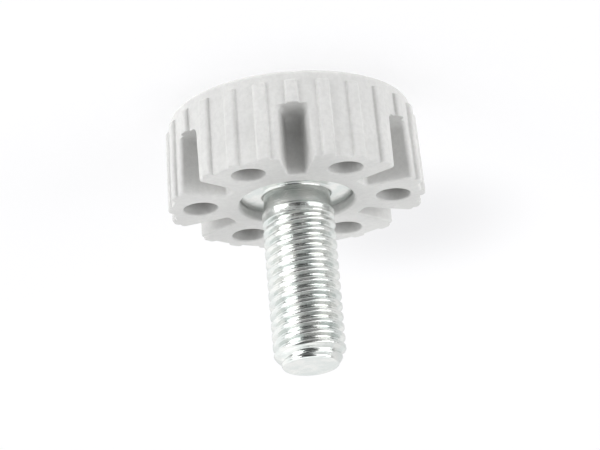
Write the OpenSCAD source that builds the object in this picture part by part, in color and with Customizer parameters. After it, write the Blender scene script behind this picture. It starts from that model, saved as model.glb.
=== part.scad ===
// Levelling foot: a moulded plastic base on a steel screw with an M10 thread.
// The part stands on its foot face, with the threaded stud pointing up.
// Sizes are in millimetres, and the origin is the centre of the foot face.

/* [Base] */
// Height of the base, from the foot face to the face that the stud leaves
base_h = 13; // [12:0.1:18]
// Diameter of the wall between the grip ribs, at the stud face
wall_d = 34.2; // [33:0.1:44]
// Draft of the wall in degrees: the base narrows towards the foot
wall_draft = 2.4; // [0.5:0.1:4]
// Radius of the edge round the foot face
foot_edge_r = 0.8; // [0.3:0.1:1.5]
// Radius of the moulded edges of the stud face
face_edge_r = 0.4; // [0.2:0.05:0.6]

/* [Grip ribs] */
// Number of grip ribs; a multiple of the slots keeps a rib on each slot
rib_count = 24; // [12:6:24]
// Width of a rib where it leaves the wall
rib_w = 1.8; // [1.2:0.1:2.4]
// How far a rib stands out of the wall
rib_h = 0.6; // [0.3:0.05:0.9]
// Radius of a rib's two crown edges
rib_crown_r = 0.5; // [0.15:0.05:0.5]
// Height of the plain band between the foot face and the ribs
band_h = 1.6; // [1.2:0.1:3]
// Radius of the edge at a rib's foot end
rib_end_r = 0.3; // [0.1:0.05:0.3]

/* [Slots] */
// Number of radial slots, with a blind hole midway between each two
slot_count = 6; // [4:1:6]
// Depth of a slot below the stud face
slot_depth = 8; // [4:0.1:9]
// Distance of a slot's inner end from the axis
slot_inner = 10.7; // [10.4:0.1:12]
// Width of a slot at its inner end
slot_inner_w = 2.5; // [1.8:0.1:3]
// Angle that each side of a slot opens by, in degrees
slot_side_angle = 8.5; // [7:0.5:9]
// Radius of the inner end's corners
slot_inner_r = 0.5; // [0.2:0.1:0.8]
// Radius of the corners where a slot meets the wall
slot_mouth_r = 0.5; // [0.5:0.1:1]

/* [Blind holes] */
// Diameter of the round coring holes
hole_d = 4.7; // [3:0.1:5]
// Diameter of the circle that their centres lie on
hole_circle_d = 26.5; // [25:0.1:27.5]
// Depth of the holes
hole_depth = 8; // [4:0.1:9]

/* [Recess] */
// Diameter of the recess round the stud
recess_d = 15.8; // [15.6:0.1:16.8]
// Depth of the recess, down to the screw's washer face
recess_depth = 1.2; // [0.8:0.1:2]

/* [Screw] */
// Outer diameter of the thread
thread_d = 10; // [9.7:0.1:10]
// Pitch of the thread
thread_pitch = 1.5; // [1.25:0.25:1.5]
// Length of the screw from its washer face to its tip
screw_l = 25.2; // [20:0.1:50]
// Diameter of the plain neck under the thread
neck_d = 9.4; // [8.8:0.1:9.5]
// Length of the plain neck from the washer face
neck_l = 2.7; // [2:0.1:5]
// Radius of the fillet between the washer face and the neck
neck_fillet_r = 0.6; // [0.3:0.1:0.8]
// Diameter that the tip tapers to
tip_d = 8.4; // [8:0.1:9.2]
// Length of the taper at the tip
tip_l = 1.8; // [1:0.1:3]
// Radius of the edge round the screw's end face
tip_edge_r = 0.4; // [0.2:0.1:0.8]
// Width of the hex head across its flats
head_af = 17; // [17:0.5:19]
// Height of the hex head, with its washer face
head_h = 6.4; // [5:0.1:7]
// Diameter of the raised washer face under the head
washer_d = 15.4; // [14.6:0.1:15.4]
// Height of the washer face above the head
washer_h = 0.4; // [0.2:0.1:0.6]

/* [Hidden] */
$fn = 96;
// A cut runs this far past the face that it leaves
over = 1;
// Steps in a quarter of a small rounded edge
edge_steps = 4;
wall_r = wall_d / 2;
crest_r = wall_r + rib_h;
slope = tan(wall_draft);
slot_floor_z = base_h - slot_depth;
hole_floor_z = base_h - hole_depth;
washer_z = base_h - recess_depth;
head_top_z = washer_z - washer_h;
head_bottom_z = washer_z - head_h;
neck_top_z = washer_z + neck_l;
tip_z = washer_z + screw_l;
thread_r = thread_d / 2;
// A metric thread's depth is this share of its pitch, and its flanks stand
// this many degrees from square
depth_share = 0.6134;
flank_angle = 30;
thread_depth = depth_share * thread_pitch;
root_r = thread_r - thread_depth;
crest_flat = thread_pitch / 8;
groove_w = thread_pitch - crest_flat;
thread_grooves = floor((tip_z - neck_top_z - groove_w / 2) / thread_pitch);
// The rounded corner of a slot's mouth runs this far past the wall, so that
// the cut leaves no sliver
mouth_past = 0.15;
// The cut for a slot's rounded edge starts this far inside the slot's sides
edge_start = 0.1;

// Points along an arc about a centre, from one angle to another
function arc(centre, r, from, to, steps) =
    [for (i = [0 : steps]) let (a = from + (to - from) * i / steps)
        [centre[0] + r * cos(a), centre[1] + r * sin(a)]];

// Radius of the drafted wall at a height, moved out by an offset
function wall_at(z, out) = wall_r + out - (base_h - z) * slope;

// Half of the base's section: flat foot, rounded foot edge, drafted wall
// and rounded edge at the stud face
function base_section() = concat(
    [[0, 0]],
    arc([wall_at(foot_edge_r, 0) - foot_edge_r, foot_edge_r], foot_edge_r, -90, -wall_draft, 2 * edge_steps),
    arc([wall_at(base_h - face_edge_r, 0) - face_edge_r, base_h - face_edge_r], face_edge_r, -wall_draft, 90,
        edge_steps),
    [[0, base_h]]);

// Half of the section that limits the ribs: it steps out at the rib's foot
// end, follows the wall's draft and rounds over at the stud face
function rib_limit() = concat(
    [[wall_r / 2, band_h]],
    arc([wall_at(band_h + rib_end_r, rib_h) - rib_end_r, band_h + rib_end_r], rib_end_r, -90, -wall_draft,
        edge_steps),
    arc([wall_at(base_h - face_edge_r, rib_h) - face_edge_r, base_h - face_edge_r], face_edge_r,
        -wall_draft, 90, edge_steps),
    [[wall_r / 2, base_h]]);

// Plan of one rib, pointing along +X, with rounded crown edges
module rib_plan() {
    flank = rib_w / 2;
    crown = crest_r - rib_crown_r;
    side = flank - rib_crown_r;
    polygon(concat(
        [[wall_r / 2, -flank]],
        arc([crown, -side], rib_crown_r, -90, 0, edge_steps),
        arc([crown, side], rib_crown_r, 0, 90, edge_steps),
        [[wall_r / 2, flank]]));
}

// One rib leans inwards with the wall's draft
module rib() {
    translate([crest_r, 0, base_h])
        rotate([0, wall_draft, 0])
            translate([-crest_r, 0, -base_h])
                linear_extrude(base_h + over)
                    rib_plan();
}

module ribs() {
    intersection() {
        rotate_extrude()
            polygon(rib_limit());
        union() {
            for (i = [0 : rib_count - 1])
                rotate(90 + i * 360 / rib_count)
                    rib();
        }
    }
}

// Plan of one slot along +X, moved out by an offset: a narrow inner end with
// rounded corners, sides that open outwards, and corners that curve into the wall
function slot_half(out) =
    let (
        inner_r = slot_inner_r,
        // Centre of the inner corner, and of the corner at the wall
        inner_c = [slot_inner + inner_r, slot_inner_w / 2 - inner_r],
        side_a = slot_side_angle,
        mouth_ring = wall_r - slot_mouth_r + mouth_past,
        // The slot's side is the line y = side_y + x * tan(side_a)
        side_y = inner_c[1] + (inner_r - inner_c[0] * sin(side_a)) / cos(side_a),
        // The mouth's centre lies its radius beyond the side, on the ring
        gap = side_y + slot_mouth_r / cos(side_a),
        t = tan(side_a),
        mouth_x = (-gap * t + sqrt(mouth_ring * mouth_ring * (1 + t * t) - gap * gap)) / (1 + t * t),
        mouth_c = [mouth_x, gap + mouth_x * t],
        mouth_a = atan2(mouth_c[1], mouth_c[0]),
        past = [cos(mouth_a), sin(mouth_a)] * (crest_r + over) + [-sin(mouth_a), cos(mouth_a)] * out)
    concat(
        arc(inner_c, inner_r + out, 180, 90 + side_a, edge_steps),
        arc(mouth_c, slot_mouth_r - out, side_a - 90, mouth_a, 2 * edge_steps),
        [past]);

function mirrored(points) = [for (i = [len(points) - 1 : -1 : 0]) [points[i][0], -points[i][1]]];

function slot_plan(out) = concat(mirrored(slot_half(out)), slot_half(out));

// The rounded upper edge of a slot, as a stack of outlines that widen upwards
// from just inside the slot's sides
module slot_edge() {
    levels = [for (i = [1 : edge_steps]) let (a = 90 * i / edge_steps)
        [base_h - face_edge_r + face_edge_r * sin(a), face_edge_r * (1 - cos(a))]];
    start = [[base_h - face_edge_r - edge_start, -edge_start]];
    heights = concat(start, levels, [[base_h + 2 * over, face_edge_r]]);
    n = len(slot_plan(0));
    points = [for (h = heights) for (p = slot_plan(h[1])) [p[0], p[1], h[0]]];
    last = len(heights) - 1;
    floor_face = [[for (i = [n - 1 : -1 : 0]) i]];
    top_face = [[for (i = [0 : n - 1]) last * n + i]];
    sides = [for (k = [0 : last - 1]) for (i = [0 : n - 1]) let (j = (i + 1) % n)
        [k * n + i, k * n + j, (k + 1) * n + j, (k + 1) * n + i]];
    polyhedron(points, concat(floor_face, sides, top_face));
}

module slot() {
    translate([0, 0, slot_floor_z])
        linear_extrude(slot_depth + over)
            polygon(slot_plan(0));
    slot_edge();
}

// A round cut with a rounded edge where it meets the stud face
module round_cut(d, floor_z) {
    rotate_extrude()
        polygon(concat(
            [[0, floor_z], [d / 2, floor_z]],
            arc([d / 2 + face_edge_r, base_h - face_edge_r], face_edge_r, 180, 90, edge_steps),
            [[d / 2 + face_edge_r, base_h + over], [0, base_h + over]]));
}

module hex_head() {
    translate([0, 0, head_bottom_z])
        rotate(30)
            cylinder(h = head_top_z - head_bottom_z, d = head_af / cos(30), $fn = 6);
}

module plastic_base() {
    color([0.83, 0.83, 0.82])
        difference() {
            union() {
                rotate_extrude()
                    polygon(base_section());
                ribs();
            }
            for (i = [0 : slot_count - 1])
                rotate(90 + i * 360 / slot_count)
                    slot();
            for (i = [0 : slot_count - 1])
                rotate(90 + (i + 0.5) * 360 / slot_count)
                    translate([hole_circle_d / 2, 0, 0])
                        round_cut(hole_d, hole_floor_z);
            round_cut(recess_d, head_top_z);
            hex_head();
        }
}

// Half of the screw's section before its thread is cut: washer face, fillet,
// neck, shank and the tapered tip with its rounded edge
function blank_section() = concat(
    [[0, head_top_z - washer_h], [washer_d / 2, head_top_z - washer_h], [washer_d / 2, washer_z]],
    arc([neck_d / 2 + neck_fillet_r, washer_z + neck_fillet_r], neck_fillet_r, 270, 180, edge_steps),
    [[neck_d / 2, neck_top_z], [thread_r, neck_top_z + thread_r - neck_d / 2], [thread_r, tip_z - tip_l]],
    arc([tip_d / 2 - tip_edge_r, tip_z - tip_edge_r], tip_edge_r, 0, 90, edge_steps),
    [[0, tip_z]]);

// Half of one groove's section, centred on a height
function groove_section(z) =
    let (mouth = groove_w / 2 + over * tan(flank_angle), root = groove_w / 2 - thread_depth * tan(flank_angle))
    [[root_r, z - root], [thread_r + over, z - mouth], [thread_r + over, z + mouth], [root_r, z + root]];

// The thread is cut as one groove for each turn, and runs out over the tip
module threaded_stud() {
    color([0.78, 0.80, 0.80])
        difference() {
            union() {
                hex_head();
                rotate_extrude()
                    polygon(blank_section());
            }
            for (i = [1 : thread_grooves])
                rotate_extrude()
                    polygon(groove_section(neck_top_z + i * thread_pitch));
        }
}

plastic_base();
threaded_stud();
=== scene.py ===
# %% [markdown]
# # A leveling foot
# The foot is two pieces of material. A light grey plastic disc is moulded round the head of a steel
# screw, and the screw's threaded end goes up into a furniture leg. The disc's ribs give the fingers a
# grip, and its slots and round blind holes save plastic and keep the moulding from sinking as it cools.
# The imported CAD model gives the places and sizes. This script adds what an eye expects from the real
# thing: soft moulded edges, a true helical thread, and surfaces that answer the light as plastic and
# zinc do.

# %% Load the frame
import math
import bmesh
import bpy
import numpy as np
from mathutils import Matrix, Vector


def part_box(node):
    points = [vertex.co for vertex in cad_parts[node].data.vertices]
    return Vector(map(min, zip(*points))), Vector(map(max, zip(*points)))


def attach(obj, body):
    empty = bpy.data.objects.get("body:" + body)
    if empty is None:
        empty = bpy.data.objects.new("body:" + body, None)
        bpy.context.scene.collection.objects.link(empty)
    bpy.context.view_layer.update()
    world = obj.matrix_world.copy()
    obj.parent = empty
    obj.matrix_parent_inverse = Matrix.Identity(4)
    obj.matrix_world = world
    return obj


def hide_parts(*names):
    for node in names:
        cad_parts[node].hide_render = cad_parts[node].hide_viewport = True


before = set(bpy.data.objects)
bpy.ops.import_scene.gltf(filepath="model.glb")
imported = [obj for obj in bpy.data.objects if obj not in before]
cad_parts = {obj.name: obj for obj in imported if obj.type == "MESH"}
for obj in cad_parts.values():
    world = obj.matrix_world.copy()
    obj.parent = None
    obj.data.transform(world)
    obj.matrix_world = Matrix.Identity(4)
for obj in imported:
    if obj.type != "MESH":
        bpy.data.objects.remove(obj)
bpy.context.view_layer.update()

# %% [markdown]
# ## The camera
# The camera comes first, because every later choice is judged through it. It stands a metre away with
# a long lens, so that the near and far sides of the disc keep nearly the same scale, as in a product
# shot. It looks from the stud's side, and it is rolled past upside down, so that the stud points down.

# %% Camera
MM = 0.001
stud_face_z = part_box("plastic_base")[1][2]
tip_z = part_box("threaded_stud")[1][2]

camera_data = bpy.data.cameras.new("camera")
camera_data.sensor_width = 36.0
camera_data.lens = 437.3
camera_data.clip_start = 0.05
camera_data.clip_end = 20.0
camera = bpy.data.objects.new("camera", camera_data)
bpy.context.scene.collection.objects.link(camera)
bpy.context.scene.camera = camera

azimuth, elevation, roll = math.radians(1.68), math.radians(20.72), math.radians(-4.9)
distance, slide_right, slide_down = 1.0, 0.402 * MM, 3.128 * MM
forward = Vector((-math.sin(azimuth) * math.cos(elevation), math.cos(azimuth) * math.cos(elevation),
                  -math.sin(elevation)))
level_right = Vector((-math.cos(azimuth), -math.sin(azimuth), 0.0))
level_down = forward.cross(level_right)
right = math.cos(roll) * level_right - math.sin(roll) * level_down
down = math.sin(roll) * level_right + math.cos(roll) * level_down
place = Vector((0, 0, stud_face_z)) - distance * forward + slide_right * right + slide_down * down
camera.matrix_world = Matrix.Translation(place) @ Matrix((right, -down, -forward)).transposed().to_4x4()
print("camera at", tuple(round(c, 4) for c in place))

# %% [markdown]
# ## Sizes
# The CAD solids set the main sizes, in millimetres, and the boxes loaded above give the heights. The
# small radii are the ones that a steel mould leaves on plastic. The slots are drawn a little closer to
# the real ones than in the solids: they widen more, and their floors curve up into their walls.

# %% Sizes in millimetres
base_h = stud_face_z / MM
# The wall's radius at the stud face, and the drafts of the wall and of the slots' cores in degrees
wall_r, wall_draft, core_draft = 17.1, 2.4, 2.2
wall_slope, core_slope = math.tan(math.radians(wall_draft)), math.tan(math.radians(core_draft))
# A rib: its half width, height, rounded crown and hollow foot, and the flat of its crest
rib_step = 15.0
rib_half, rib_h, rib_crown, rib_foot = 0.92, 0.6, 0.5, 0.18
rib_flat, rib_sink = 0.3, 0.03
# The plain band under the ribs, and the rounded lower ends of the ribs and of the foot
band_h, rib_end, foot_edge = 1.6, 0.3, 0.8
# A slot: its inner end, half its width there and its side's angle, then the curves of its corners
slot_step, slot_floor = 60.0, base_h - 8.0
slot_inner, slot_inner_half, slot_open = 10.3, 1.30, 10.0
slot_inner_r, slot_mouth_r, slot_floor_r, slot_foot_r = 0.5, 0.6, 2.0, 0.7
# Small rounded edges, then the blind holes, the recess with the washer's face, and the hex head
top_edge, sill_edge, hole_edge = 0.3, 0.2, 0.25
hole_r, hole_ring = 2.35, 13.25
recess_r, recess_edge, washer_z = 7.9, 0.4, base_h - 1.2
head_top, head_bottom, head_half = washer_z - 0.4, washer_z - 6.4, 8.5
# Points round the recess, the head and the screw, and round a blind hole
around_n, hole_n = 144, 48
# Faces that meet more steeply than this keep a sharp edge
sharp_a = math.radians(35)
print("base height", round(base_h, 3), "tip", round(tip_z / MM, 3), "washer face", round(washer_z, 3))

# %% [markdown]
# ## A skin from loops
# Both pieces are skins stretched over loops of points. Moulded and turned shapes suit this, because
# each loop is the outline at one height, and a rounded edge is a few loops that draw in little by
# little. A boolean with a bevel would be quicker to write, but its corners would need mending.

# %% Skin helper
class Skin:
    """Gathers points and faces in millimetres, and makes one mesh object of them."""

    def __init__(self):
        self.points, self.faces = [], []

    def loop(self, xyz):
        """Adds a loop of points and returns their numbers."""
        first = len(self.points)
        self.points.extend(tuple(float(c) for c in p) for p in xyz)
        return list(range(first, len(self.points)))

    def wall(self, low, high):
        """Joins two loops that have the same number of points."""
        count = len(low)
        for i in range(count):
            j = (i + 1) % count
            self.faces.append((low[i], low[j], high[j], high[i]))

    def fan(self, loop, centre, up=True):
        """Closes a loop with triangles that meet in its centre."""
        hub = self.loop([centre])[0]
        for i, a in enumerate(loop):
            b = loop[(i + 1) % len(loop)]
            self.faces.append((hub, a, b) if up else (hub, b, a))

    def mesh(self, name, merge=0.0):
        """Makes the object. Points closer than the merge distance become one."""
        data = bpy.data.meshes.new(name)
        data.from_pydata([[c * MM for c in p] for p in self.points], [], self.faces)
        thing = bpy.data.objects.new(name, data)
        bpy.context.scene.collection.objects.link(thing)
        bm = bmesh.new()
        bm.from_mesh(data)
        if merge:
            bmesh.ops.remove_doubles(bm, verts=bm.verts, dist=merge * MM)
            bmesh.ops.dissolve_degenerate(bm, edges=bm.edges, dist=merge * MM)
        bmesh.ops.recalc_face_normals(bm, faces=bm.faces)
        bm.to_mesh(data)
        bm.free()
        data.shade_smooth()
        data.set_sharp_from_angle(angle=sharp_a)
        print(name, len(data.vertices), "points,", len(data.polygons), "faces,",
              open_edges(data), "open edges")
        return thing


# %% Edges, arcs and smooth steps
def open_edges(data):
    """Number of edges that don't lie between exactly two faces."""
    uses = {}
    for face in data.polygons:
        for key in face.edge_keys:
            uses[key] = uses.get(key, 0) + 1
    return sum(1 for count in uses.values() if count != 2)


def arc(cx, cy, r, start, end, steps):
    """Points along an arc, from one angle to another in degrees."""
    turns = [math.radians(start + (end - start) * i / steps) for i in range(steps + 1)]
    return [(cx + r * math.cos(a), cy + r * math.sin(a)) for a in turns]


def rise(value, low, high):
    """Goes smoothly from 0 at low to 1 at high."""
    t = np.clip((value - low) / (high - low), 0.0, 1.0)
    return t * t * (3.0 - 2.0 * t)


print("a smooth step at a quarter, a half and three quarters:", rise(np.array([0.25, 0.5, 0.75]), 0.0, 1.0))

# %% [markdown]
# ## The wall's columns
# Seen from above, the wall is a circle with twenty-four ribs. Each rib has a flat crest, two rounded
# crown edges, and a small hollow curve where it meets the wall. Those curves matter more than the
# rib's height: they catch the thin bright line that runs down each rib.

# %% A rib's side and a slot's mouth
def rib_side():
    """Half of a rib's outline, from its crest's middle: distance from the axis, and along the crest."""
    crest = wall_r + rib_h
    points = [(crest, 0.0), (crest, rib_flat)]
    points += arc(crest - rib_crown, rib_half - rib_crown, rib_crown, 0, 90, 6)
    hollow = arc(wall_r + rib_foot - rib_sink, rib_half + rib_foot, rib_foot, 270, 180, 3)
    return points + hollow[:-1]


slot_side_a = math.radians(slot_open)
inner_c = (slot_inner + slot_inner_r, slot_inner_half - slot_inner_r)


def curved(low, radius):
    """How far a curve of this radius, between the slot's floor and a wall, stands out at this depth."""
    lift = max(0.0, radius - (base_h - slot_floor - low))
    return radius - math.sqrt(radius ** 2 - lift ** 2)


def mouth_centre(low):
    """Centre of the curve between the wall and a slot's side, at a depth below the stud face."""
    reach = slot_inner_r - low * core_slope - curved(low, slot_foot_r)
    tan_a = math.tan(slot_side_a)
    side_y = inner_c[1] + (reach - inner_c[0] * math.sin(slot_side_a)) / math.cos(slot_side_a)
    gap = side_y + slot_mouth_r / math.cos(slot_side_a)
    ring = wall_r - low * wall_slope - slot_mouth_r
    x = (math.sqrt(ring ** 2 * (1 + tan_a ** 2) - gap ** 2) - gap * tan_a) / (1 + tan_a ** 2)
    return x, gap + x * tan_a


mouth_x, mouth_y = mouth_centre(0.0)
mouth_a = math.degrees(math.atan2(mouth_y, mouth_x))
print("half a slot's mouth is", round(mouth_a, 2), "degrees")

# %% Columns of the ribbed wall
# Each column is an angle, and how far it stands out from the wall
rib_columns = [(math.degrees(math.atan2(y, x)), math.hypot(x, y) - wall_r) for x, y in rib_side()]
rib_reach = math.degrees((rib_half + rib_foot) / wall_r)
ribs_per_sector, gap_n = int(slot_step / rib_step), 8
columns = []
for k in range(ribs_per_sector):
    middle = k * rib_step
    columns += [(middle - a, lift) for a, lift in rib_columns[:0:-1]] if k else []
    columns += [(middle + a, lift) for a, lift in rib_columns]
    gap = np.linspace(middle + rib_reach, middle + rib_step - rib_reach, gap_n)
    # The gaps beside a slot's middle have a column where the mouth ends
    if k == 0:
        gap = np.append(np.linspace(rib_reach, mouth_a, gap_n), slot_step / 4 - rib_reach)
    if k == ribs_per_sector - 1:
        gap = np.append(middle + rib_reach, np.linspace(slot_step - mouth_a, slot_step - rib_reach, gap_n))
    columns += [(float(a), 0.0) for a in gap]
columns += [(slot_step - a, lift) for a, lift in rib_columns[:0:-1]]
sector_a = np.array([a for a, _ in columns])
sector_lift = np.array([lift for _, lift in columns])
slot_count = int(360 / slot_step)
col_a = np.concatenate([sector_a + k * slot_step for k in range(slot_count)])
col_lift = np.tile(sector_lift, slot_count)
col_from_slot = np.abs((col_a + slot_step / 2) % slot_step - slot_step / 2)
col_inside = col_from_slot < mouth_a - 1e-6
print(len(col_a), "columns, of which", int(col_inside.sum()), "in front of slots")

# A slot lies on the +Y axis, so every angle is turned by a quarter
turn = np.radians(col_a + 90.0)
col_dir = np.stack([np.cos(turn), np.sin(turn)], axis=1)

# %% The wall at one height
# The sill's rounded edge begins this many degrees in from the mouth's end, and is full at the second
sill_from, sill_full = 4.6, 6.0


def wall_loop(z, inset, rib_share, sill=0.0):
    """The wall's points at one height, drawn in by an inset and, across the slots, by the sill's edge."""
    soften = rise(mouth_a - col_from_slot, sill_from, sill_full)
    r = wall_r - (base_h - z) * wall_slope - inset + col_lift * rib_share - sill * soften
    return np.column_stack([col_dir * r[:, None], np.full(len(r), z)])


print("the wall draws in by", round((base_h - slot_floor) * wall_slope, 2), "mm over a slot's depth")

# %% [markdown]
# ## The slots' outline
# A slot is narrow at its inner end and opens outwards, and its core has two degrees of draft, so that
# the mould can let go. Its mouth meets the wall in a tight curve. Its floor curves up into the inner
# end and, more tightly, into the sides, because a core with sharp corners would crack the plastic. Near
# the stud face the outline grows by the rounded edge's inset: a curve that bulges into the plastic
# shrinks, and a hollow one grows.

# %% Outline of one slot
def slot_side(low, inset):
    """Half a slot's outline at one height, from the wall to the middle of its inner end."""
    cx, cy = mouth_centre(low)
    start, r = math.degrees(math.atan2(cy, cx)), slot_mouth_r - inset
    points = arc(cx, cy, r, start, slot_open - 90.0, 10)[1:]
    # The floor curves up into the inner end, which draws the end of the outline out
    pull, rounded = curved(low, slot_floor_r), curved(low, slot_foot_r)
    cx = inner_c[0] + pull
    cy = inner_c[1] + pull * math.tan(slot_side_a) - rounded / math.cos(slot_side_a)
    r = slot_inner_r - low * core_slope + inset
    corner = arc(cx, cy, r, 90.0 + slot_open, 180.0, 6)
    (ax, ay), (bx, by) = points[-1], corner[0]
    points += [(ax + (bx - ax) * s, ay + (by - ay) * s) for s in (0.25, 0.5, 0.75)]
    return np.array(points + corner + [(cx - r, 0.0)])


def slot_loop(k, z, inset):
    """One slot's points at one height: in from the wall to its inner end, and out on the other side."""
    side = slot_side(base_h - z, inset)
    plan = np.concatenate([side * (1.0, -1.0), side[-2::-1]])
    a = math.radians(k * slot_step + 90.0)
    x = plan[:, 0] * math.cos(a) - plan[:, 1] * math.sin(a)
    y = plan[:, 0] * math.sin(a) + plan[:, 1] * math.cos(a)
    return np.column_stack([x, y, np.full(len(x), z)])


slot_len = len(slot_loop(0, slot_floor, 0.0))
print("a slot's outline has", slot_len, "points")

# %% [markdown]
# ## The plastic base
# The skin starts at the foot face, climbs the wall to the slots' floors, and goes on as one long
# outline that runs in and out of all six slots. The stud face closes it, with openings left for the
# blind holes and the recess. Under the recess lies the hexagonal pocket that the screw's head fills.

# %% Base: foot, band and sill
base = Skin()
loops = []
# The foot's rounded edge
for a in np.radians(np.linspace(-90.0, -wall_draft, 9)):
    z, draw = foot_edge + foot_edge * math.sin(a), foot_edge * (1 - math.cos(a))
    loops.append(base.loop(wall_loop(z, draw - max(0.0, foot_edge - z) * wall_slope, 0.0)))
# The plain band ends where the ribs stand out, a hair above it, each with a rounded lower end
hair = 0.001
for step in range(7):
    a = math.radians(15.0 * step)
    out = (rib_h - rib_end + rib_end * math.sin(a)) / rib_h if step else 0.0
    loops.append(base.loop(wall_loop(band_h + rib_end * (1 - math.cos(a)) + hair, 0.0, out)))
# The sill in front of each slot's floor has a rounded edge
for a in np.radians(np.linspace(0.0, 90.0, 6)):
    z = slot_floor - sill_edge + sill_edge * math.sin(a)
    loops.append(base.loop(wall_loop(z, 0.0, 1.0, sill_edge * (1 - math.cos(a)))))
for low, high in zip(loops, loops[1:]):
    base.wall(low, high)
base.fan(loops[0], (0, 0, 0), up=False)
print("the foot and the band end with", len(base.points), "points")

# %% Base: ribbed wall and slots
# The long outline: wall columns between slots, then a slot's points, all the way round
count = len(sector_a)
rim = loops[-1]
quarter = np.radians(np.linspace(0.0, 90.0, 7))[1:]
# From this angle on, the larger floor curve lies clear above the smaller one
large_from = 58.0
levels = [slot_floor] + [slot_floor + slot_foot_r * (1 - math.cos(a)) for a in quarter]
levels += list(slot_floor + slot_floor_r * (1 - np.cos(np.radians(np.linspace(large_from, 90.0, 5)))))
levels += list(np.linspace(slot_floor + slot_floor_r, base_h - top_edge, 7)[1:])
heights = [(float(z), 0.0) for z in levels]
heights += [(base_h - top_edge + top_edge * math.sin(a), top_edge * (1 - math.cos(a))) for a in quarter]
long_loops = []
for z, inset in heights:
    on_wall = wall_loop(z, inset, 1.0)
    row = []
    for k in range(slot_count):
        ids = [i + k * count for i in range(count) if not col_inside[i + k * count]]
        row += [rim[i] for i in ids] if not long_loops else base.loop(on_wall[ids])
        row += base.loop(slot_loop((k + 1) % slot_count, z, inset))
    long_loops.append(row)
for low, high in zip(long_loops, long_loops[1:]):
    base.wall(low, high)
print("the long outline has", len(long_loops[0]), "points at each of", len(long_loops), "heights")

# %% Base: the slots' floors
# Each floor is bounded by the slot's own points and by the sill's edge
per_sector = len(long_loops[0]) // slot_count
for k in range(slot_count):
    start = k * per_sector + per_sector - slot_len
    inner = long_loops[0][start:start + slot_len]
    before = long_loops[0][start - 1]
    after = long_loops[0][(start + slot_len) % len(long_loops[0])]
    i, sill = rim.index(after), []
    while rim[i] != before:
        sill.append(rim[i])
        i = (i - 1) % len(rim)
    base.faces.append(tuple([before] + inner + sill))
print("each floor has", len(base.faces[-1]), "edges")

# %% [markdown]
# ## Blind holes, recess and pocket
# Each blind hole is a rounded lip, a nearly straight wall and a flat floor. The recess is the same
# at a larger size, and leads down to the pocket that holds the head.

# %% Base: holes and recess
def lip(skin, cx, cy, r, edge, count, levels):
    """A round opening in the stud face: its rounded lip, then the given levels. Returns all its loops."""
    around = np.radians(np.arange(count) * 360.0 / count)
    spin = np.column_stack([np.cos(around), np.sin(around)])
    rows = [(r + edge - edge * math.sin(a), base_h - edge + edge * math.cos(a))
            for a in np.radians(np.linspace(0.0, 90.0, 6))]
    made = []
    for radius, z in rows + levels:
        made.append(skin.loop(np.column_stack([spin * radius + (cx, cy), np.full(count, z)])))
    for high, low in zip(made, made[1:]):
        skin.wall(high, low)
    return made


# Down a hole: how much narrower it is, and how far above its floor
hole_levels = [(0.04, 4.0), (0.08, 0.25), (0.15, 0.07), (0.33, 0.0)]
for k in range(slot_count):
    a = math.radians(90.0 + (k + 0.5) * slot_step)
    cx, cy = hole_ring * math.cos(a), hole_ring * math.sin(a)
    rings = lip(base, cx, cy, hole_r, hole_edge, hole_n,
                [(hole_r - narrower, slot_floor + above) for narrower, above in hole_levels])
    base.fan(rings[-1], (cx, cy, slot_floor))
rings = lip(base, 0, 0, recess_r, recess_edge, around_n, [(recess_r, head_top)])
print(slot_count, "blind holes,", round(base_h - slot_floor, 2), "mm deep, and the recess")


# %% Base: the head's pocket
def hexagon(count):
    """The hex head's outline, sampled at even angles so that its corners are kept."""
    a = np.radians(np.arange(count) * 360.0 / count)
    r = head_half / np.cos((a + math.pi / 6) % (math.pi / 3) - math.pi / 6)
    return np.column_stack([r * np.cos(a), r * np.sin(a)])


hexed = hexagon(around_n)
pocket = [base.loop(np.column_stack([hexed, np.full(around_n, z)])) for z in (head_top, head_bottom)]
base.wall(rings[-1], pocket[0])
base.wall(pocket[0], pocket[1])
base.fan(pocket[1], (0, 0, head_bottom))
plastic = base.mesh("moulded_base")

# %% Base: stud face
# The stud face is one flat region with seven openings, filled between its edges
bm = bmesh.new()
bm.from_mesh(plastic.data)
bm.verts.ensure_lookup_table()
top = [e for e in bm.edges if len(e.link_faces) == 1]
bmesh.ops.triangle_fill(bm, use_beauty=True, use_dissolve=False, edges=top, normal=(0, 0, 1))
bmesh.ops.recalc_face_normals(bm, faces=bm.faces)
bm.to_mesh(plastic.data)
bm.free()
plastic.data.shade_smooth()
plastic.data.set_sharp_from_angle(angle=sharp_a)
print("stud face filled from", len(top), "edges, open edges now", open_edges(plastic.data))
shading = plastic.modifiers.new("flat faces keep flat shading", "WEIGHTED_NORMAL")
shading.keep_sharp = True
shading.weight = 100

# %% [markdown]
# ## The thread
# A metric thread is a groove of one pitch per turn. Rings would look right from afar, but their
# crests would be level, and the eye knows a screw by its slope. So the grid of the skin is sheared:
# each row of points climbs one pitch as it goes once round, and the crest, flank and root stay on
# their own rows. The real thread is rolled, so its corners are rounded, it starts gently above a low
# shoulder at the neck's end, and it runs out over the tapered tip.

# %% Stud: profile functions
pitch, thread_r, neck_r = 1.5, 5.0, 4.6
thread_depth, crest_flat = 0.70, 0.48
neck_top, tip = base_h + 1.5, tip_z / MM
# Where the tip's taper starts, its radius at the end, and the rounded edge there
taper_z, taper_r, tip_edge = tip - 1.8, 3.95, 0.25
fillet_r, washer_r, washer_edge, washer_mid_r = 0.45, 7.7, 0.16, 6.6
# Rows of points in a pitch, the rounding of the thread's corners, and its flanks' angle
rows_per_pitch, corner_blur, flank_a = 28, 0.07, math.radians(30)
shoulder_dip, root_r, run_out = 0.07, 4.15, 0.6
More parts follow.
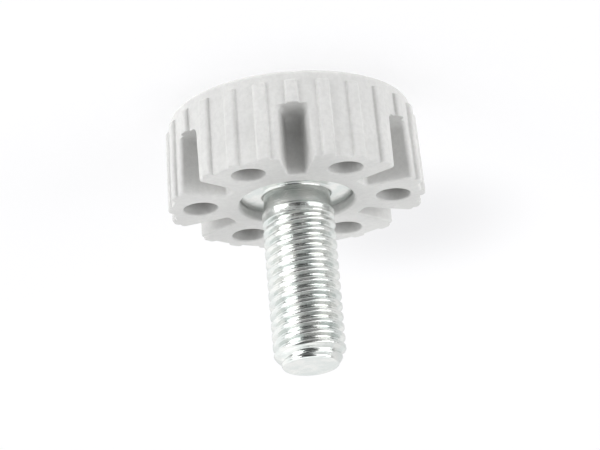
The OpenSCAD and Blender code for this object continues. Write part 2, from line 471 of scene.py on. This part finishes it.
# Along the axis from the neck's end: the step up to the shoulder, the dip above it, and the groove's start
step_from, step_to, dip_full, dip_back, dip_end = -0.05, 0.25, 1.0, 1.2, 2.0
groove_from, groove_full = 0.9, 1.9
# The run-out sets in over this much of the taper, and is gone this far from the tip
fade_in, fade_out = 0.5, 0.6


def groove(u):
    """Depth of the thread at a share of the pitch, where 0 is the crest's middle, with rounded corners."""
    total = np.zeros_like(u)
    shifts = np.linspace(-corner_blur, corner_blur, 9)
    for shift in shifts:
        from_crest = np.abs((u * pitch + shift + pitch / 2) % pitch - pitch / 2)
        total += np.clip((from_crest - crest_flat / 2) / math.tan(flank_a), 0.0, thread_depth)
    return total / len(shifts)


def blank(z):
    """Radius of the screw before its thread is rolled: neck, shoulder, shank and taper."""
    r = neck_r + (thread_r - neck_r) * rise(z, neck_top + step_from, neck_top + step_to)
    dip = rise(z, neck_top + step_to, neck_top + dip_full) - rise(z, neck_top + dip_back, neck_top + dip_end)
    taper = thread_r - (thread_r - taper_r) * (z - taper_z) / (tip - tip_edge - taper_z)
    return np.minimum(r - shoulder_dip * dip, taper)


print("groove depth at the crest and at the root:", groove(np.array([0.0, 0.5])))

# %% Stud: head, washer and neck
stud = Skin()
steps = np.arange(around_n) * 2 * math.pi / around_n
spin = np.column_stack([np.cos(steps), np.sin(steps)])


def ring(r, z):
    return stud.loop(np.column_stack([spin * r, np.full(around_n, z)]))


thread_low, thread_high = neck_top - 0.1, tip - tip_edge
chain = [stud.loop(np.column_stack([hexed, np.full(around_n, z)])) for z in (head_bottom, head_top)]
# The profile from the washer's rim to the neck: each ring's radius and height
profile = [(washer_r, head_top), (washer_r, washer_z - washer_edge)]
profile += arc(washer_r - washer_edge, washer_z - washer_edge, washer_edge, 0, 90, 4)[1:]
profile += [(washer_mid_r, washer_z)]
profile += arc(neck_r + fillet_r, washer_z + fillet_r, fillet_r, 270, 180, 10)
profile += [(neck_r, z) for z in np.linspace(washer_z + fillet_r, thread_low, 6)[1:]]
chain += [ring(r, z) for r, z in profile]
for low, high in zip(chain, chain[1:]):
    stud.wall(low, high)
stud.fan(chain[0], (0, 0, head_bottom), up=False)
print("head, washer and neck in", len(chain), "loops")

# %% Stud: thread
# A crest passes the -X side this far above the stud face, half a turn from where the rows begin
crest_at_side = 21.71
crest_phase = base_h + crest_at_side - pitch / 2
first = int(math.floor((thread_low - pitch - crest_phase) / pitch)) * rows_per_pitch
last = int(math.ceil((thread_high - crest_phase) / pitch)) * rows_per_pitch
grid = {}
for row in range(first, last + 1):
    share = row / rows_per_pitch
    climb = crest_phase + share * pitch + pitch * steps / (2 * math.pi)
    z = np.clip(climb, thread_low, thread_high)
    depth = groove(np.full(around_n, share)) * rise(z, neck_top + groove_from, neck_top + groove_full)
    # The taper cuts the crests back, and the rolled groove runs out over it
    faint = run_out * depth * rise(z, taper_z, taper_z + fade_in)
    faint = faint * (1.0 - rise(z, tip - fade_out, thread_high))
    r = np.minimum(blank(z) - faint, np.maximum(thread_r - depth, root_r))
    grid[row] = stud.loop(np.column_stack([spin * r[:, None], z]))
for row in range(first, last):
    for i in range(around_n):
        j, up = (i + 1) % around_n, rows_per_pitch if i == around_n - 1 else 0
        if row + 1 + up <= last:
            stud.faces.append((grid[row][i], grid[row + up][j], grid[row + 1 + up][j], grid[row + 1][i]))
print("thread from", round(thread_low - base_h, 2), "to", round(thread_high - base_h, 2),
      "mm above the stud face, in", len(grid), "rows")

# %% Stud: tip
rim_r = taper_r - tip_edge
ends = [ring(r, z) for r, z in arc(rim_r, tip - tip_edge, tip_edge, 0, 90, 6)]
# The end face is a shallow dish: a radius, and how far it lies below the rim
dish = ((3.55, 0.02), (3.2, 0.05), (2.8, 0.09), (2.3, 0.12), (1.7, 0.14), (0.9, 0.15))
ends += [ring(r, tip - dip) for r, dip in dish]
for low, high in zip(ends, ends[1:]):
    stud.wall(low, high)
stud.fan(ends[-1], (0, 0, tip - dish[-1][1]))
merge_within = 0.004
steel = stud.mesh("zinc_plated_screw", merge=merge_within)

# %% [markdown]
# ## Finishes
# A finish is a small sum: noise for uneven gloss, a tint that drifts a little, a bump for the marks of
# making and use. Writing those sums as node trees by hand is slow to read, so one small class lets
# Python's operators add the nodes. The sheet and the tent of light below are made in the same way.

# %% Shader expressions
class Wire:
    """One output socket. Arithmetic on it adds Math nodes, or Vector Math nodes on a vector."""

    def __init__(self, finish, socket):
        self.finish, self.socket = finish, socket

    def _join(self, operation, a, b):
        vector = self.socket.type == "VECTOR"
        kind = "VectorMath" if vector else "Math"
        if vector and not isinstance(a, (Wire, tuple)):
            a = (a, a, a)
        if vector and not isinstance(b, (Wire, tuple)):
            b = (b, b, b)
        return self.finish.node(kind, {"operation": operation}, {0: a, 1: b})

    def __add__(self, other):
        return self._join("ADD", self, other)

    def __radd__(self, other):
        return self._join("ADD", other, self)

    def __sub__(self, other):
        return self._join("SUBTRACT", self, other)

    def __rsub__(self, other):
        return self._join("SUBTRACT", other, self)

    def __mul__(self, other):
        return self._join("MULTIPLY", self, other)

    def __rmul__(self, other):
        return self._join("MULTIPLY", other, self)


# %% Finish helper
class Finish:
    """A node tree under construction: a new material's, or the one that is handed in."""

    def __init__(self, name, tree=None):
        if tree is None:
            self.material = bpy.data.materials.new(name)
            self.material.use_nodes = True
            tree = self.material.node_tree
        self.tree = tree
        self.tree.nodes.clear()

    def node(self, kind, settings=None, sockets=None, out=0):
        """Adds one node: its type, its settings, its sockets' values or links, and the output wanted."""
        made = self.tree.nodes.new("ShaderNode" + kind)
        for key, value in (settings or {}).items():
            setattr(made, key, value)
        for key, value in (sockets or {}).items():
            if isinstance(value, Wire):
                self.tree.links.new(value.socket, made.inputs[key])
            else:
                made.inputs[key].default_value = value
        return Wire(self, made.outputs[out])

    def place(self):
        """Where a point is on the object, in millimetres."""
        return self.node("TexCoord", out="Object") * (1.0 / MM)

    def noise(self, where, scale, detail=2.0, rough=0.5):
        return self.node("TexNoise", {}, {"Vector": where, "Scale": scale, "Detail": detail,
                                          "Roughness": rough})

    def length(self, vector):
        return self.node("VectorMath", {"operation": "LENGTH"}, {0: vector}, out=1)

    def spread(self, value, low, high, to_low=0.0, to_high=1.0):
        """Goes smoothly from one number to another as the value goes from low to high."""
        return self.node("MapRange", {"interpolation_type": "SMOOTHSTEP"},
                         {0: value, 1: low, 2: high, 3: to_low, 4: to_high})

    def blend(self, share, a, b):
        return self.node("Mix", {"data_type": "RGBA"}, {0: share, 6: a, 7: b}, out=2)

    def bump(self, height, strength, distance, under=None):
        sockets = {"Height": height, "Strength": strength, "Distance": distance}
        if under is not None:
            sockets["Normal"] = under
        return self.node("Bump", {}, sockets)

    def surface(self, shader):
        out = self.tree.nodes.new("ShaderNodeOutputMaterial")
        self.tree.links.new(shader.socket, out.inputs["Surface"])
        print(self.material.name, "is made of", len(self.tree.nodes), "nodes")
        return self.material


def rgb(r, g, b):
    return (r, g, b, 1.0)


# %% [markdown]
# ### Moulded plastic
# The disc is a light grey polymer with a satin skin. The mould was eroded rather than polished, so the
# gloss is broken up at a fraction of a millimetre. Handling has left faint marks.

# %% Plastic finish
moulding = Finish("light_grey_plastic")
where = moulding.place()
cloud = moulding.noise(where, 0.16, 3.0)
grain = moulding.noise(where, 6.0, 2.0)
speck = moulding.noise(where, 2.2, 4.0, 0.65)
tone = moulding.blend(moulding.spread(cloud, 0.3, 0.7), rgb(0.615, 0.615, 0.607), rgb(0.66, 0.66, 0.65))
tone = moulding.blend(moulding.spread(speck, 0.60, 0.72, 0.0, 0.35), tone, rgb(0.70, 0.70, 0.69))
mottle = moulding.noise(where, 1.5, 5.0, 0.65)
tone = moulding.blend(moulding.spread(mottle, 0.36, 0.62, 0.26, 0.0), tone, rgb(0.48, 0.48, 0.475))
sheen = 0.42 + 0.16 * cloud + 0.10 * (grain - 0.5)
skin = moulding.bump(grain, 0.25, 0.00003)
skin = moulding.bump(speck, 0.4, 0.00006, skin)
plastic_look = moulding.node("BsdfPrincipled", {}, {
    "Base Color": tone, "Roughness": sheen, "IOR": 1.49, "Normal": skin})
plastic.data.materials.append(moulding.surface(plastic_look))

# %% [markdown]
# ### Bright zinc
# Zinc plating is a thin bluish-green metal skin over rolled steel. It keeps the fine lines that the
# dies rolled round the thread, and it dulls where it has been handled.

# %% Zinc finish
zinc = Finish("bright_zinc")
where = zinc.place()
lines = zinc.noise(where * (0.6, 0.6, 4.5), 1.0, 4.0, 0.65)
cloud = zinc.noise(where, 0.45, 3.0)
speck = zinc.noise(where, 5.0, 3.0, 0.6)
tint = zinc.blend(zinc.spread(cloud, 0.35, 0.65), rgb(0.70, 0.735, 0.72), rgb(0.80, 0.81, 0.79))
sheen = 0.09 + 0.14 * cloud + 0.14 * zinc.spread(speck, 0.5, 0.75)
marks = zinc.bump(lines, 0.6, 0.00004)
marks = zinc.bump(speck, 0.6, 0.00003, marks)
zinc_look = zinc.node("BsdfPrincipled", {}, {
    "Base Color": tint, "Metallic": 1.0, "Roughness": sheen, "Normal": marks})
steel.data.materials.append(zinc.surface(zinc_look))

# %% [markdown]
# ## Into the frame
# Both meshes ride on the one body and stand for their CAD nodes, which stay for collision.

# %% Ride and replace
for piece, node, slot in ((plastic, "plastic_base", "plastic"), (steel, "threaded_stud", "zinc_steel")):
    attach(piece, "root")
    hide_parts(node)
    print(piece.name, "stands for", node, "and fills the slot", slot)

# %% [markdown]
# ## The studio
# The foot stands on a plain pale sheet that keeps its faint shadow. A faint shade is also painted
# on the sheet behind the foot. The camera sees the whole sheet, and shiny surfaces mirror the part of
# it near the foot. Every other ray goes on to the tent of light behind it, so that the tent alone
# sets the light.

# %% Sheet
floor_data = bpy.data.meshes.new("studio_floor")
reach = 2.5
# The sheet lies a fiftieth of a millimetre below the foot, so that the two flat faces don't coincide
sheet_z = -0.02 * MM
corners = [(x * reach, y * reach, sheet_z) for x, y in ((-1, -1), (1, -1), (1, 1), (-1, 1))]
floor_data.from_pydata(corners, [], [(0, 1, 2, 3)])
floor = bpy.data.objects.new("studio_floor", floor_data)
bpy.context.scene.collection.objects.link(floor)
print("sheet", 2 * reach, "m wide")

# %% Sheet finish
# Shiny surfaces mirror the sheet out to these distances from the stud's axis, in millimetres
mirror_full, mirror_end = 26.0, 44.0
# A faint shadow is painted on the sheet behind the foot, on the side away from the brighter box
painted_shade_at, shade_squeeze = (-17.0, 45.0, 0.0), (1.0, 0.8, 1.0)
shade_full, shade_end = 3.0, 22.0
glow_in_shade, glow_plain = 0.56, 0.685
sheet = Finish("pale_sheet")
on_sheet = sheet.place()
near = sheet.spread(sheet.length(on_sheet), mirror_full, mirror_end, 1.0, 0.0)
mirrored = sheet.node("LightPath", out="Is Glossy Ray") + sheet.node("LightPath", out="Is Transmission Ray")
seen = sheet.node("LightPath", out="Is Camera Ray") + mirrored * near
distance_from_painted_shade = sheet.length((on_sheet - painted_shade_at) * shade_squeeze)
# The glow's grey dims into the painted shadow there. A number that is linked to a colour socket becomes a
# grey
glow_with_painted_shade = sheet.spread(distance_from_painted_shade, shade_full, shade_end, glow_in_shade, glow_plain)
paper = sheet.node("BsdfDiffuse", {}, {"Color": rgb(0.30, 0.30, 0.31)})
# The sheet's glow carries the painted shadow behind the foot
glow = sheet.node("Emission", {}, {"Color": glow_with_painted_shade, "Strength": 1.0})
pale = sheet.node("AddShader", {}, {0: paper, 1: glow})
clear = sheet.node("BsdfTransparent")
floor.data.materials.append(sheet.surface(sheet.node("MixShader", {}, {0: seen, 1: clear, 2: pale})))

# %% [markdown]
# ## The tent of light
# Bright metal shows the whole room, so the light is drawn as a tent that surrounds the foot. Two soft
# boxes stand to the left and the right of the camera. Between them the tent is open and dark: that gap
# is what draws the dark marks on the thread and keeps the slots deep. The white sheet glows below.

# %% Tent: directions
world = bpy.data.worlds.new("tent")
bpy.context.scene.world = world
world.use_nodes = True
tent = Finish("tent", world.node_tree)
towards = tent.node("SeparateXYZ", {}, {0: tent.node("TexCoord", out="Generated")})
east, north, up = [Wire(tent, output) for output in towards.socket.node.outputs]
# Degrees round from the camera's side towards the picture's left, and degrees above the horizon
bearing = tent.node("Math", {"operation": "ARCTAN2"}, {0: east, 1: -1.0 * north}) * math.degrees(1.0)
height = tent.node("Math", {"operation": "ARCSINE"}, {0: up}) * math.degrees(1.0)
away = tent.node("Math", {"operation": "ABSOLUTE"}, {0: bearing})
# The gap lies a little to the left of the camera, and leans
gap_middle, gap_lean = 2.0, 0.42
from_gap = tent.node("Math", {"operation": "ABSOLUTE"}, {0: bearing - gap_middle - gap_lean * height})


def between(value, low, high, soft):
    """A share that is 1 between two angles and fades over a soft edge at each."""
    return tent.spread(value, low - soft, low + soft) * tent.spread(value, high - soft, high + soft, 1.0, 0.0)


def panel(left, right, bottom, top, soft_side=5.0, soft_end=6.0):
    """A share that is 1 on a panel between two bearings and two heights."""
    return between(bearing, left, right, soft_side) * between(height, bottom, top, soft_end)


print("directions take", len(tent.tree.nodes), "nodes")

# %% Tent: where its parts are, in degrees
opened = tent.spread(from_gap, 27.0, 41.0)
gap_low, gap_high = tent.spread(height, -18.0, -8.0, 0.32, 0.0), tent.spread(height, 38.0, 55.0, 0.0, 0.20)
left_box, right_box = panel(0.0, 73.0, -18.0, 18.0), panel(-82.0, 0.0, -5.0, 25.0)
behind = tent.spread(away, 135.0, 165.0)
behind_high, behind_low = behind * between(height, 42.0, 64.0, 6.0), behind * between(height, 6.0, 34.0, 6.0)
leftwards = between(bearing, 35.0, 150.0, 15.0)
beside_boxes = between(bearing, 73.0, 88.0, 2.5) + between(bearing, -98.0, -82.0, 2.5)
dark_strips = beside_boxes * between(height, -14.0, 16.0, 4.0)
below, overhead = tent.spread(height, -64.0, -45.0, 1.0, 0.0), tent.spread(height, 66.0, 80.0)
print("with its parts the tent takes", len(tent.tree.nodes), "nodes")

# %% Tent: how brightly its parts glow
walls = 0.95 + 0.35 * leftwards + 4.0 * left_box + 3.7 * right_box + 1.6 * behind_high
walls = walls * (1.0 - 0.85 * dark_strips) + 0.15 * behind_low
gap = 0.05 + gap_low + gap_high
level = walls * opened + gap * (1.0 - opened)
sheet_glow, roof_glow, whole = 2.4, 1.35, 0.92
level = level * (1.0 - below) + sheet_glow * below
level = level * (1.0 - overhead) + roof_glow * overhead
level = whole * level
# Past the sheet's edge the camera itself sees plain white
camera_sees = tent.node("LightPath", out="Is Camera Ray")
level = level * (1.0 - camera_sees) + camera_sees
backdrop = tent.node("Background", {}, {"Color": level, "Strength": 1.0})
tent.tree.links.new(backdrop.socket, tent.tree.nodes.new("ShaderNodeOutputWorld").inputs["Surface"])
bpy.context.scene.view_settings.view_transform = "Standard"
print("the tent is made of", len(tent.tree.nodes), "nodes")
